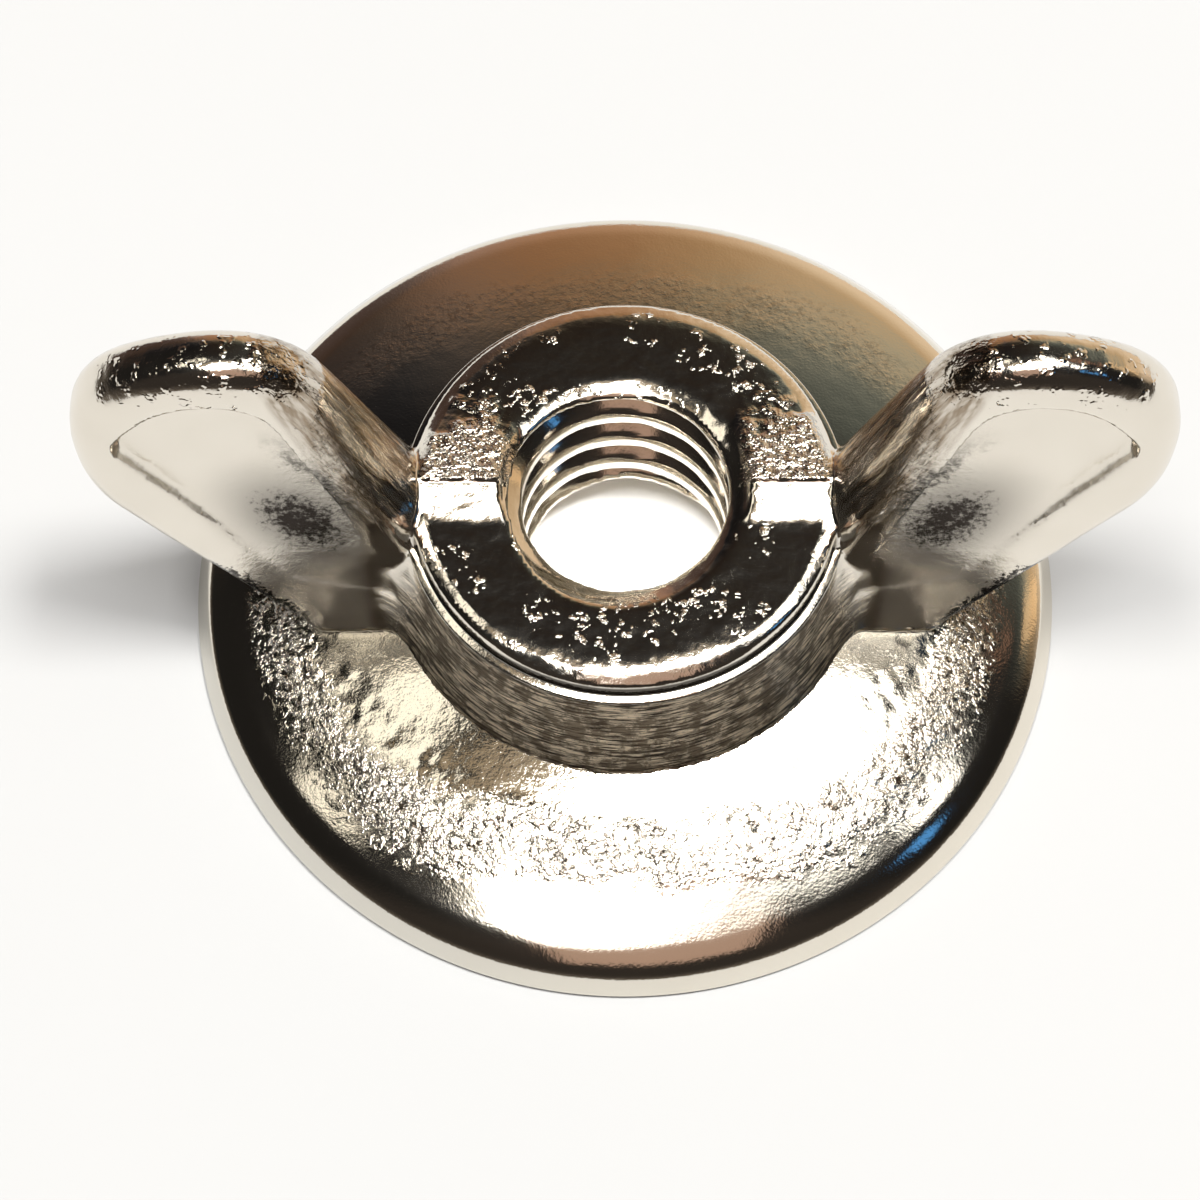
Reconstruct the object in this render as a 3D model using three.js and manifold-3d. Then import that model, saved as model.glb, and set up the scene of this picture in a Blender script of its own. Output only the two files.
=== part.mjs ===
// Wing nut with a captive base washer, 1/4-20 UNC, in millimetres with +Z up.
//
// Two pieces make the nut. The nut body is one casting: hub, two wings, tapped bore, and a spigot
// under the hub. The base washer is a domed disc on that spigot, whose rolled lip holds it on, so
// the wings turn while the washer stands still on the work. The origin is the centre of the
// washer's bearing face, +Z runs along the bore, and the wings point along +X and -X.
import * as THREE from 'three';
import { mergeVertices } from 'three/addons/utils/BufferGeometryUtils.js';
import Module from 'manifold-3d';

const wasm = await Module();
wasm.setup();

// Clearance between the turning body and the washer.
const RUNNING_GAP = 0.06;

// Facets round a turned shape.
const ROUND_SEGMENTS = 64;

// 1/4-20 UNC internal thread.
const THREAD_PITCH = 25.4 / 20;
const THREAD_MINOR_RADIUS = 5.15 / 2;
const THREAD_MAJOR_RADIUS = 6.35 / 2;
const THREAD_START = 0.54;
const THREAD_SEGMENTS = 40;
const THREAD_ROWS_PER_PITCH = 5;
const TAP_OVERRUN = 1;
const MOUTH_RADIUS = 3.05;
const MOUTH_DEPTH = 0.14;
const COUNTERSINK_TOP = 1.2;

// Base washer.
const WASHER_RADIUS = 11.2;
const WASHER_THICKNESS = 0.9;
const DOME_HEIGHT = 2.7;
const DOME_RADIUS = 30.9;
const RIM_ROLL_START = 10.2;
const RIM_ROLL = 0.24;
const RIM_SHOULDER_RADIUS = 10.87;
const RIM_FOOT_ROUND = 0.12;
const LAND_INNER_RADIUS = 9.3;
const HOLLOW_START_RADIUS = 8.7;
const LIP_SEAT_RADIUS = 6.6;

// Nut body.
const SPIGOT_RADIUS = 4.5;
const LIP_RADIUS = 5.7;
const LIP_ROUND = 0.45;
const LIP_BOTTOM = 0.3;
const NECK_FOOT_RADIUS = 6.1;
const NECK_TOP_RADIUS = 5.5;
const NECK_MIDDLE_RADIUS = 5.85;
const NECK_MIDDLE_HEIGHT = 3.6;
const LEDGE_HEIGHT = 5.36;
const LEDGE_WIDTH = 0.22;
const CROWN_ROUND = 2.8;
const CROWN_FLAT_RADIUS = 4.2;
const CROWN_EDGE_DROP = 0.25;
const CROWN_HEIGHT = 5.95;

// Low rib across the hub's top, between the bore and each wing.
const RIB_START = 2.7;
const RIB_END = 5.3;
const RIB_TRIM_RADIUS = 5.2;
const RIB_FRONT = -0.95;
const RIB_PEAK = 0.1;
const RIB_BACK = 2.2;
const RIB_HEIGHT = 0.25;
const RIB_SINK = 0.02;

// Wings. The outline is the centre line of the rounded edge, in the XZ plane.
const WING_EDGE_ROUND = 0.85;
const WING_MODEL_HALF_THICKNESS = 1.0;
const WING_TOP = 12.0;
const WING_HALF_THICKNESS_AT_TOP = 0.9;
const WING_DRAFT = 0.095;
const WEB_FLARE = 0.3;
const WEB_FLARE_TOP = 4.2;
const WEB_END = 8.3;
const WING_TIP = 12.25;
const WING_ROOT_X = 4.2;
const WING_ROOT_HEIGHT = 1.0;
const POCKET_TOP = 11.75;
const POCKET_FLOOR_AT_TOP = 0.55;
const POCKET_DRAFT = 0.147;

// Height of the washer's domed top at radius r.
function domeTop(r) {
  return DOME_HEIGHT - (r * r) / (2 * DOME_RADIUS);
}

// Height of the washer's top: the dome, rolling over towards the rim.
function washerTop(r) {
  return domeTop(r) - RIM_ROLL * Math.max(0, r - RIM_ROLL_START) ** 2;
}

// Height of the hub's top at radius r: flat, then rounding down to the edge.
function crownTop(r) {
  const beyond = Math.max(0, r - CROWN_FLAT_RADIUS);
  return CROWN_HEIGHT - CROWN_ROUND + Math.sqrt(CROWN_ROUND ** 2 - beyond ** 2);
}

// Height at which the washer's underside seats the spigot's lip.
const LIP_SEAT = domeTop(LIP_SEAT_RADIUS) - WASHER_THICKNESS;

function toSolid(geometry) {
  const bare = geometry.clone();
  bare.deleteAttribute('normal');
  bare.deleteAttribute('uv');
  const merged = mergeVertices(bare, 1e-5);
  const vertProperties = new Float32Array(merged.attributes.position.array);
  const triVerts = new Uint32Array(merged.index.array);
  return new wasm.Manifold(new wasm.Mesh({ numProp: 3, vertProperties, triVerts }));
}

function toMesh(name, solid, material) {
  const { vertProperties, triVerts } = solid.getMesh();
  const geometry = new THREE.BufferGeometry();
  geometry.setAttribute('position', new THREE.BufferAttribute(vertProperties, 3));
  geometry.setIndex(new THREE.BufferAttribute(triVerts, 1));
  geometry.computeVertexNormals();
  const mesh = new THREE.Mesh(geometry, material);
  mesh.name = name;
  return mesh;
}

// Points of an arc about (cx, cy), both ends included.
function arc(cx, cy, radius, fromDegrees, toDegrees, steps) {
  const points = [];
  for (let i = 0; i <= steps; i += 1) {
    const angle = THREE.MathUtils.degToRad(fromDegrees + ((toDegrees - fromDegrees) * i) / steps);
    points.push([cx + radius * Math.cos(angle), cy + radius * Math.sin(angle)]);
  }
  return points;
}

// Points along the dome from one radius to another, raised by an offset.
function domeLine(fromRadius, toRadius, offset, steps) {
  const points = [];
  for (let i = 0; i <= steps; i += 1) {
    const r = fromRadius + ((toRadius - fromRadius) * i) / steps;
    points.push([r, domeTop(r) + offset]);
  }
  return points;
}

// Solid of revolution about Z from a profile of [radius, height] points, listed from the lowest
// point on the axis up the outside.
function revolve(profile, segments = ROUND_SEGMENTS) {
  const geometry = new THREE.LatheGeometry(
    profile.map(([r, z]) => new THREE.Vector2(r, z)),
    segments,
  );
  geometry.rotateX(Math.PI / 2);
  return toSolid(geometry);
}

// The tapped hole as a solid: a core with a helical V-shaped ridge, a shallow cone at the top and
// a countersink at the bottom.
function makeTap() {
  const bottom = LIP_BOTTOM - TAP_OVERRUN;
  const top = CROWN_HEIGHT + TAP_OVERRUN;
  const rows = Math.round(((top - bottom) / THREAD_PITCH) * THREAD_ROWS_PER_PITCH);
  const geometry = new THREE.CylinderGeometry(1, 1, top - bottom, THREAD_SEGMENTS, rows);
  geometry.rotateX(Math.PI / 2);
  geometry.translate(0, 0, (top + bottom) / 2);
  const position = geometry.attributes.position;
  const depth = THREAD_MAJOR_RADIUS - THREAD_MINOR_RADIUS;
  for (let i = 0; i < position.count; i += 1) {
    const x = position.getX(i);
    const y = position.getY(i);
    const z = position.getZ(i);
    const onWall = Math.hypot(x, y) > 0.5;
    const turn = (z - THREAD_START) / THREAD_PITCH - Math.atan2(y, x) / (2 * Math.PI);
    const ridge = 1 - 2 * Math.abs(turn - Math.floor(turn) - 0.5);
    const radius = THREAD_MINOR_RADIUS + (z > CROWN_HEIGHT ? 0 : depth * ridge);
    if (onWall) {
      position.setXYZ(i, x * radius, y * radius, z);
    }
  }
  const upper = revolve([
    [0, CROWN_HEIGHT - MOUTH_DEPTH],
    [THREAD_MINOR_RADIUS, CROWN_HEIGHT - MOUTH_DEPTH],
    [MOUTH_RADIUS, CROWN_HEIGHT],
    [MOUTH_RADIUS, top],
    [0, top],
  ], THREAD_SEGMENTS);
  const lower = revolve([
    [0, bottom],
    [THREAD_MINOR_RADIUS + COUNTERSINK_TOP - bottom, bottom],
    [0, COUNTERSINK_TOP + THREAD_MINOR_RADIUS],
  ], THREAD_SEGMENTS);
  return toSolid(geometry).add(upper).add(lower);
}

// Hub, neck, spigot and lip, turned in one profile.
function makeHub() {
  const crownEdge = NECK_TOP_RADIUS - LEDGE_WIDTH;
  return revolve([
    [0, LIP_BOTTOM],
    ...arc(LIP_RADIUS - LIP_ROUND, LIP_BOTTOM + LIP_ROUND, LIP_ROUND, -90, 0, 4),
    [LIP_RADIUS, LIP_SEAT - RUNNING_GAP],
    [SPIGOT_RADIUS, LIP_SEAT - RUNNING_GAP],
    ...domeLine(SPIGOT_RADIUS, NECK_FOOT_RADIUS, RUNNING_GAP, 3),
    [NECK_MIDDLE_RADIUS, NECK_MIDDLE_HEIGHT],
    [NECK_TOP_RADIUS, LEDGE_HEIGHT - 0.08],
    [NECK_TOP_RADIUS - 0.06, LEDGE_HEIGHT],
    [crownEdge, LEDGE_HEIGHT],
    [crownEdge, CROWN_HEIGHT - CROWN_EDGE_DROP],
    ...arc(CROWN_FLAT_RADIUS, CROWN_HEIGHT - CROWN_ROUND, CROWN_ROUND, 67.3, 90, 4),
    [MOUTH_RADIUS, CROWN_HEIGHT],
    [0, CROWN_HEIGHT],
  ]);
}

// Half the wing's thickness: a straight draft, and a flare where the web meets hub and base.
function wingHalfThickness(x, z) {
  const low = Math.max(0, WEB_FLARE_TOP - z) / (WEB_FLARE_TOP - 2);
  const near = THREE.MathUtils.clamp((WEB_END - x) / (WEB_END - NECK_FOOT_RADIUS), 0, 1);
  return WING_HALF_THICKNESS_AT_TOP + WING_DRAFT * Math.max(0, WING_TOP - z)
    + WEB_FLARE * near * low * low;
}

// Straight stretch of an outline, with points along it for the draft and flare to bend.
function lineInSteps(shape, x, z, steps) {
  const start = shape.currentPoint.clone();
  for (let i = 1; i <= steps; i += 1) {
    shape.lineTo(start.x + ((x - start.x) * i) / steps, start.y + ((z - start.y) * i) / steps);
  }
}

function wingOutline() {
  const shape = new THREE.Shape();
  shape.moveTo(WING_ROOT_X, WING_ROOT_HEIGHT);
  lineInSteps(shape, 7.15, WING_ROOT_HEIGHT, 3);
  lineInSteps(shape, 11.8, 7.5, 5);
  shape.quadraticCurveTo(WING_TIP, 8.2, WING_TIP, 9.2);
  shape.quadraticCurveTo(WING_TIP + 0.1, 11.35, 10.3, WING_TOP - 0.13);
  shape.quadraticCurveTo(9.2, WING_TOP + 0.2, 8.5, WING_TOP - 0.15);
  shape.quadraticCurveTo(8.0, WING_TOP - 0.4, 7.75, 11.0);
  lineInSteps(shape, WING_ROOT_X, WING_ROOT_HEIGHT, 7);
  return shape;
}

function pocketOutline() {
  const shape = new THREE.Shape();
  shape.moveTo(8.6, 5.0);
  shape.lineTo(11.9, 9.6);
  shape.quadraticCurveTo(12.1, 10.0, 11.8, 10.4);
  shape.quadraticCurveTo(10.9, POCKET_TOP, 9.5, POCKET_TOP);
  shape.quadraticCurveTo(8.3, POCKET_TOP - 0.1, 8.0, 10.5);
  shape.lineTo(5.6, 4.0);
  shape.lineTo(7.2, 3.6);
  return shape;
}

// An extrusion of an XZ outline along Y, centred on the XZ plane.
function extrudeAcross(shape, options) {
  const geometry = new THREE.ExtrudeGeometry(shape, options);
  geometry.translate(0, 0, -options.depth / 2);
  geometry.rotateX(Math.PI / 2);
  return geometry;
}

// Replaces each vertex's y by a function of its x, y and z.
function reshapeY(geometry, newY) {
  const position = geometry.attributes.position;
  for (let i = 0; i < position.count; i += 1) {
    position.setY(i, newY(position.getX(i), position.getY(i), position.getZ(i)));
  }
  return geometry;
}

function makePocketCutter(side) {
  const depth = 3;
  const geometry = extrudeAcross(pocketOutline(), { depth, bevelEnabled: false, curveSegments: 5 });
  return toSolid(reshapeY(geometry, (x, y, z) => {
    const floor = POCKET_FLOOR_AT_TOP + POCKET_DRAFT * (POCKET_TOP - z);
    return y + side * (floor + depth / 2);
  }));
}

// One wing, on the +X side: drafted from the root to the top, rounded all round, with a shallow
// pocket in each face, and trimmed to clear the washer's dome.
function makeWing() {
  const bevel = WING_EDGE_ROUND;
  const geometry = extrudeAcross(wingOutline(), {
    depth: 2 * (WING_MODEL_HALF_THICKNESS - bevel),
    bevelEnabled: true,
    bevelThickness: bevel,
    bevelSize: bevel,
    bevelSegments: 5,
    curveSegments: 6,
  });
  const wing = toSolid(reshapeY(
    geometry,
    (x, y, z) => (y * wingHalfThickness(x, z)) / WING_MODEL_HALF_THICKNESS,
  ));
  const underDome = revolve([
    [0, -1],
    [WASHER_RADIUS, -1],
    ...domeLine(WASHER_RADIUS, 0, RUNNING_GAP, 12),
  ]);
  return wing.subtract(underDome).subtract(makePocketCutter(1)).subtract(makePocketCutter(-1));
}

// How far the rib stands above the hub's top at y: a steep front, a long back and sunken feet.
function ribLift(y) {
  const front = (y - RIB_FRONT) / (RIB_PEAK - RIB_FRONT);
  const back = (RIB_BACK - y) / (RIB_BACK - RIB_PEAK);
  return RIB_HEIGHT * Math.min(front, back) - RIB_SINK;
}

// The rib on the +X side. Its top follows the crown and its foot lies inside the hub.
function makeRib() {
  const across = RIB_BACK - RIB_FRONT;
  const geometry = new THREE.BoxGeometry(RIB_END - RIB_START, across, 1, 4, 6, 1);
  geometry.translate((RIB_START + RIB_END) / 2, (RIB_BACK + RIB_FRONT) / 2, 0);
  const position = geometry.attributes.position;
  for (let i = 0; i < position.count; i += 1) {
    const y = position.getY(i);
    const crown = crownTop(Math.hypot(position.getX(i), y));
    position.setZ(i, position.getZ(i) > 0 ? crown + ribLift(y) : crown - 1);
  }
  const withinCrown = revolve([
    [0, 0],
    [RIB_TRIM_RADIUS, 0],
    [RIB_TRIM_RADIUS, CROWN_HEIGHT + 1],
    [0, CROWN_HEIGHT + 1],
  ]);
  return toSolid(geometry).intersect(withinCrown);
}

function makeNutBody() {
  const wing = makeWing();
  const rib = makeRib();
  const withWings = makeHub().add(wing).add(wing.rotate([0, 0, 180]));
  return withWings.add(rib).add(rib.mirror([1, 0, 0])).subtract(makeTap());
}

// Domed disc with a flat bearing land near the rim, a sloping flank round the rim and a hollow
// underside.
function makeWasher() {
  const holeRadius = SPIGOT_RADIUS + RUNNING_GAP;
  const rimMiddle = (RIM_ROLL_START + RIM_SHOULDER_RADIUS) / 2;
  const profile = [
    [holeRadius, LIP_SEAT],
    [LIP_SEAT_RADIUS, LIP_SEAT],
    ...domeLine(LIP_SEAT_RADIUS + 0.5, HOLLOW_START_RADIUS, -WASHER_THICKNESS, 3),
    [LAND_INNER_RADIUS, 0],
    ...arc(WASHER_RADIUS - RIM_FOOT_ROUND, RIM_FOOT_ROUND, RIM_FOOT_ROUND, -90, 30, 4),
    [RIM_SHOULDER_RADIUS, washerTop(RIM_SHOULDER_RADIUS)],
    [rimMiddle, washerTop(rimMiddle)],
    ...domeLine(RIM_ROLL_START, holeRadius, 0, 10),
    [holeRadius, LIP_SEAT],
  ];
  return revolve(profile);
}

const nutNickel = new THREE.MeshStandardMaterial({ color: 0xcfc6b4, roughness: 0.22, metalness: 1.0 });
const washerNickel = new THREE.MeshStandardMaterial({ color: 0xd6ccb6, roughness: 0.14, metalness: 1.0 });

const group = new THREE.Group();
group.add(toMesh('base_washer', makeWasher(), washerNickel));
group.add(toMesh('nut_body', makeNutBody(), nutNickel));

export default group;
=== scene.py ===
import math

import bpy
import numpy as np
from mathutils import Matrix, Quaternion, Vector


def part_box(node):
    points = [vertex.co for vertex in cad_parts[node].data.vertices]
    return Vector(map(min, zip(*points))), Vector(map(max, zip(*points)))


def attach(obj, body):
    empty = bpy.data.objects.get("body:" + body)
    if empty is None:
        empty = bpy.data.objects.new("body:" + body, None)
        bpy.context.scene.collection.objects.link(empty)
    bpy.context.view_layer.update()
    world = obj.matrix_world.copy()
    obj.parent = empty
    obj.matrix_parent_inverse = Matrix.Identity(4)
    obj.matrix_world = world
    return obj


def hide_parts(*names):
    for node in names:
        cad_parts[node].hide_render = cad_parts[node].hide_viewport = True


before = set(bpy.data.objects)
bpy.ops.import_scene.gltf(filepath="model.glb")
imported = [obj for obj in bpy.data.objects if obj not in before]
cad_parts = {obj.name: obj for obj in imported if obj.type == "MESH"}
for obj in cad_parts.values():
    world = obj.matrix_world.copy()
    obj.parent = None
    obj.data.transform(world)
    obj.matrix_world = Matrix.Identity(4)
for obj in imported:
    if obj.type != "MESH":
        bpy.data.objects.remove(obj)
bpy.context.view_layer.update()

# Wing nut with a captive base washer, 1/4-20 UNC, nickel plated, standing on a white table.
#
# Two visible pieces replace the two CAD nodes. The washer is a turned mesh. The nut body is a
# distance field, which gives the casting its fillets and its thread, turned into a mesh.
# Shapes are worked out in millimetres and stored in metres, in the frame's own axes.

MM = 0.001
SEED = 7

# Sizes in millimetres. The three largest come from the frame.
washer_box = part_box("base_washer")
body_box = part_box("nut_body")
WASHER_RADIUS = washer_box[1][0] / MM
WING_REACH = body_box[1][0] / MM
BODY_TOP = body_box[1][2] / MM

RUNNING_GAP = 0.06
DOME_HEIGHT = 2.7
DOME_RADIUS = 30.9
WASHER_THICKNESS = 0.9
RIM_SHOULDER_RADIUS = 10.87
RIM_SHOULDER_ROUND = 0.12
RIM_FOOT_ROUND = 0.12
RIM_ROLL_START = 10.2
RIM_ROLL = 0.24
LAND_INNER_RADIUS = 9.3
HOLLOW_START_RADIUS = 8.7
LIP_SEAT_RADIUS = 6.6
SPIGOT_RADIUS = 4.5
LIP_RADIUS = 5.7
LIP_ROUND = 0.45
LIP_BOTTOM = 0.3
NECK_FOOT_RADIUS = 6.1
NECK_TOP_RADIUS = 5.5
LEDGE_HEIGHT = 5.36
LEDGE_WIDTH = 0.22
CROWN_ROUND = 2.2
CROWN_FLAT_RADIUS = 4.43
CROWN_SIDE_ROUND = 0.8
CROWN_SIDE_FLAT_RADIUS = 4.95
CROWN_HEIGHT = 5.95
RING_FOOT = 5.12
RING_LAND_ROUND = 0.95
RING_LAND_CENTRE = (5.175, 4.464)
RING_EDGE_ROUND = 0.05
THREAD_PITCH = 25.4 / 20
THREAD_MINOR_RADIUS = 5.15 / 2
THREAD_MAJOR_RADIUS = 6.35 / 2
THREAD_START = 0.54
THREAD_CREST = 0.34
MOUTH_RADIUS = 3.05
MOUTH_DEPTH = 0.14
COUNTERSINK_TOP = 1.2
RIB_HEIGHT = 0.25
RIB_FRONT = -0.95
RIB_PEAK = 0.1
RIB_BACK = 2.2
WING_EDGE_ROUND = 0.85
WING_TIP = WING_REACH - WING_EDGE_ROUND
WING_TOP = BODY_TOP - WING_EDGE_ROUND - 0.03
WING_HALF_THICKNESS_AT_TOP = 0.9
WING_DRAFT = 0.095
WEB_FLARE = 0.3
WEB_FLARE_TOP = 4.2
WEB_END = 8.3
POCKET_DEPTH = 0.32
PEEL_HEIGHT = 0.011
VOXEL = 0.115

# Camera, in metres, and the room's colour towards the front.
CAMERA_ELEVATION = math.radians(65.34)
CAMERA_DISTANCE = 0.086
CAMERA_LENS = 98.07
CAMERA_SHIFT_X = -0.0209
LOOK_OFFSET_UP = -0.28 * MM
FRONT_BROWN = (0.02, 0.015, 0.012)


# ---------------------------------------------------------------- shapes in numbers

def dome_top(r):
    """Height of the washer's domed top at radius r."""
    return DOME_HEIGHT - r * r / (2 * DOME_RADIUS)


LIP_SEAT = dome_top(LIP_SEAT_RADIUS) - WASHER_THICKNESS


def plate_top(r):
    """Height of the washer's top as plated: the dome, rolling over towards the rim."""
    return dome_top(r) - RIM_ROLL * np.maximum(0, r - RIM_ROLL_START) ** 2


def smoothstep(low, high, value):
    """Smooth ramp from 0 at low to 1 at high, also with low above high."""
    t = np.clip((value - low) / (high - low), 0, 1)
    return t * t * (3 - 2 * t)


def smooth_max(a, b, k):
    """The larger of two fields, with a fillet of about k where they meet."""
    h = np.maximum(k - np.abs(a - b), 0) / k
    return np.maximum(a, b) + h * h * k / 4


def smooth_min(a, b, k):
    """The smaller of two fields, with a fillet of about k where they meet."""
    return -smooth_max(-a, -b, k)


def arc(cx, cy, radius, start, end, steps):
    """Points of an arc about (cx, cy), from start to end degrees."""
    angles = np.radians(np.linspace(start, end, steps + 1))
    return [(cx + radius * math.cos(a), cy + radius * math.sin(a)) for a in angles]


def quadratic(p0, p1, p2, steps=10):
    """Points of a quadratic curve, without its first."""
    out = []
    for i in range(1, steps + 1):
        t = i / steps
        out.append(tuple(
            (1 - t) ** 2 * a + 2 * t * (1 - t) * b + t * t * c for a, b, c in zip(p0, p1, p2)
        ))
    return out


def polygon_distance(points, px, py):
    """Signed distance from (px, py) to a closed outline, negative inside."""
    nearest = np.full(px.shape, 1e9)
    inside = np.zeros(px.shape, bool)
    for (ax, ay), (bx, by) in zip(points, points[1:] + points[:1]):
        ex, ey = bx - ax, by - ay
        length2 = ex * ex + ey * ey
        if length2 < 1e-12:
            continue
        t = np.clip(((px - ax) * ex + (py - ay) * ey) / length2, 0, 1)
        dx, dy = px - ax - t * ex, py - ay - t * ey
        nearest = np.minimum(nearest, dx * dx + dy * dy)
        crosses = (ay > py) != (by > py)
        if by != ay:
            inside ^= crosses & (px < ax + ex * (py - ay) / (by - ay))
    return np.sqrt(nearest) * np.where(inside, -1, 1)


def value_noise(shape, spacing, cell, seed):
    """Smooth random field on a regular 3-D grid, with features about cell wide, in -1 to 1."""
    rng = np.random.default_rng(seed)
    coarse = [max(2, int(math.ceil(n * spacing / cell)) + 2) for n in shape]
    field = rng.uniform(-1, 1, coarse)
    for axis, n in enumerate(shape):
        position = np.arange(n) * spacing / cell
        low = np.floor(position).astype(int)
        t = position - low
        t = t * t * (3 - 2 * t)
        sizes = [1, 1, 1]
        sizes[axis] = n
        t = t.reshape(sizes)
        field = np.take(field, low, axis) * (1 - t) + np.take(field, low + 1, axis) * t
    return field


# ---------------------------------------------------------------- nut body

def hub_profile(crown_flat_radius, crown_round):
    """Outline of hub, neck, spigot and lip in the radius-height plane."""
    crown_edge = NECK_TOP_RADIUS - LEDGE_WIDTH
    crown_centre = CROWN_HEIGHT - crown_round
    crown_end = math.acos((crown_edge - crown_flat_radius) / crown_round)
    dome = [(r, dome_top(r) + RUNNING_GAP) for r in np.linspace(SPIGOT_RADIUS, NECK_FOOT_RADIUS, 6)]
    neck = quadratic(
        (NECK_FOOT_RADIUS, dome_top(NECK_FOOT_RADIUS) + RUNNING_GAP),
        (NECK_TOP_RADIUS + 0.22, 3.6),
        (NECK_TOP_RADIUS - 0.05, LEDGE_HEIGHT - 0.12),
    )
    return [
        (-1.0, LIP_BOTTOM),
        *arc(LIP_RADIUS - LIP_ROUND, LIP_BOTTOM + LIP_ROUND, LIP_ROUND, -90, 0, 8),
        (LIP_RADIUS, LIP_SEAT - RUNNING_GAP),
        (SPIGOT_RADIUS, LIP_SEAT - RUNNING_GAP),
        *dome,
        *neck,
        (crown_edge + 0.07, LEDGE_HEIGHT - 0.08),
        (crown_edge + 0.05, LEDGE_HEIGHT + 0.22),
        (crown_edge, crown_centre + crown_round * math.sin(crown_end) - 0.02),
        *arc(crown_flat_radius, crown_centre, crown_round, math.degrees(crown_end), 90, 10),
        (-1.0, CROWN_HEIGHT),
    ]


def ring_profile():
    """Closed outline of the narrow land round the hub, just below its crown."""
    land = arc(*RING_LAND_CENTRE, RING_LAND_ROUND, 70, 85, 12)
    edge_r = land[0][0] - RING_EDGE_ROUND * math.cos(math.radians(70))
    edge_z = land[0][1] - RING_EDGE_ROUND * math.sin(math.radians(70))
    return [
        (5.2, RING_FOOT),
        (5.44, RING_FOOT),
        *arc(edge_r, edge_z, RING_EDGE_ROUND, 0, 60, 5),
        *land,
        (5.2, land[-1][1]),
    ]


def wing_outline():
    """Centre line of a wing's rounded edge, in the XZ plane."""
    top, tip = WING_TOP, WING_TIP
    return [
        (4.2, 1.0),
        (7.15, 1.0),
        (tip - 0.47, 7.5),
        *quadratic((tip - 0.47, 7.5), (tip, 8.2), (tip, 9.2)),
        *quadratic((tip, 9.2), (tip + 0.1, 11.35), (10.3, top - 0.15)),
        *quadratic((10.3, top - 0.15), (9.2, top + 0.18), (8.5, top - 0.17)),
        *quadratic((8.5, top - 0.17), (8.0, top - 0.42), (7.75, 11.0)),
    ]


def pocket_outline():
    """Outline of the shallow pocket in a wing's face, in the XZ plane."""
    top = WING_TOP - 0.27
    return [
        (8.3, 4.2),
        (11.9, 9.6),
        *quadratic((11.9, 9.6), (12.1, 10.0), (11.8, 10.4), 5),
        *quadratic((11.8, 10.4), (10.9, top), (9.5, top)),
        *quadratic((9.5, top), (8.3, top - 0.1), (8.0, 10.5)),
        (5.4, 3.4),
    ]


def wing_half_thickness(x, z):
    """Half the wing's thickness: a straight draft, and a flare at the web's foot."""
    low = np.maximum(0, WEB_FLARE_TOP - z) / (WEB_FLARE_TOP - 2)
    near = np.clip((WEB_END - x) / (WEB_END - NECK_FOOT_RADIUS), 0, 1)
    drafted = WING_HALF_THICKNESS_AT_TOP + WING_DRAFT * np.maximum(0, WING_TOP - z)
    return drafted + WEB_FLARE * near * low * low


def wing_field(x, y, z):
    """Distance to both wings. x and z are (nx, 1, nz) grids, y is (1, ny, 1)."""
    reach = np.abs(x)
    side = np.abs(y)
    flat_x, flat_z = np.broadcast_arrays(reach[:, 0, :], z[:, 0, :])
    outline = polygon_distance(wing_outline(), flat_x, flat_z)[:, None, :]
    pocket = polygon_distance(pocket_outline(), flat_x, flat_z)[:, None, :]
    half = wing_half_thickness(reach, z)
    across = side / half - (1 - WING_EDGE_ROUND)
    corner = np.hypot(np.maximum(outline, 0), np.maximum(across, 0))
    wing = corner - WING_EDGE_ROUND + np.minimum(np.maximum(outline, across), 0)
    depth = POCKET_DEPTH * smoothstep(3.6, 8.5, z)
    cutter = smooth_max(pocket, half - depth - side, 0.12)
    return smooth_max(wing, -cutter, 0.07)


def thread_field(radius, angle, z):
    """Distance out of the tapped bore, positive in the metal."""
    turn = (z - THREAD_START) / THREAD_PITCH - angle / (2 * math.pi)
    ridge = 1 - 2 * np.abs(turn - np.floor(turn) - 0.5)
    groove = np.clip((ridge - THREAD_CREST) / (0.94 - THREAD_CREST), 0, 1)
    depth = (THREAD_MAJOR_RADIUS - THREAD_MINOR_RADIUS) * groove
    wall = (radius - THREAD_MINOR_RADIUS - depth) * 0.55
    slope = MOUTH_DEPTH / (MOUTH_RADIUS - THREAD_MINOR_RADIUS)
    cone = (CROWN_HEIGHT - z - (MOUTH_RADIUS - radius) * slope) / math.hypot(1, slope)
    mouth = np.maximum(cone, radius - MOUTH_RADIUS)
    countersink = (radius - THREAD_MINOR_RADIUS - (COUNTERSINK_TOP - z)) * math.sqrt(0.5)
    return np.minimum(np.minimum(wall, mouth), countersink)


def rib_lift(x, y, z, radius):
    """How far the low rib that joins the wings lifts the hub's top."""
    front = np.clip((y - RIB_FRONT) / (RIB_PEAK - RIB_FRONT), 0, 1)
    back = np.clip((RIB_BACK - y) / (RIB_BACK - RIB_PEAK), 0, 1)
    on_top = smoothstep(5.3, 5.8, z) * smoothstep(5.3, 5.05, radius)
    return RIB_HEIGHT * np.minimum(front, back) * on_top * smoothstep(2.5, 2.9, np.abs(x))


def turned_field(profile, radius, zs):
    """Distance to a profile turned about Z, on the grid with these radii and heights."""
    table_r = np.arange(0, 16, 0.02)
    table_z = zs[:, None] + 0 * table_r[None, :]
    table = polygon_distance(profile, table_r[None, :] + 0 * table_z, table_z)
    return np.stack([np.interp(radius, table_r, row) for row in table], axis=2)


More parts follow.
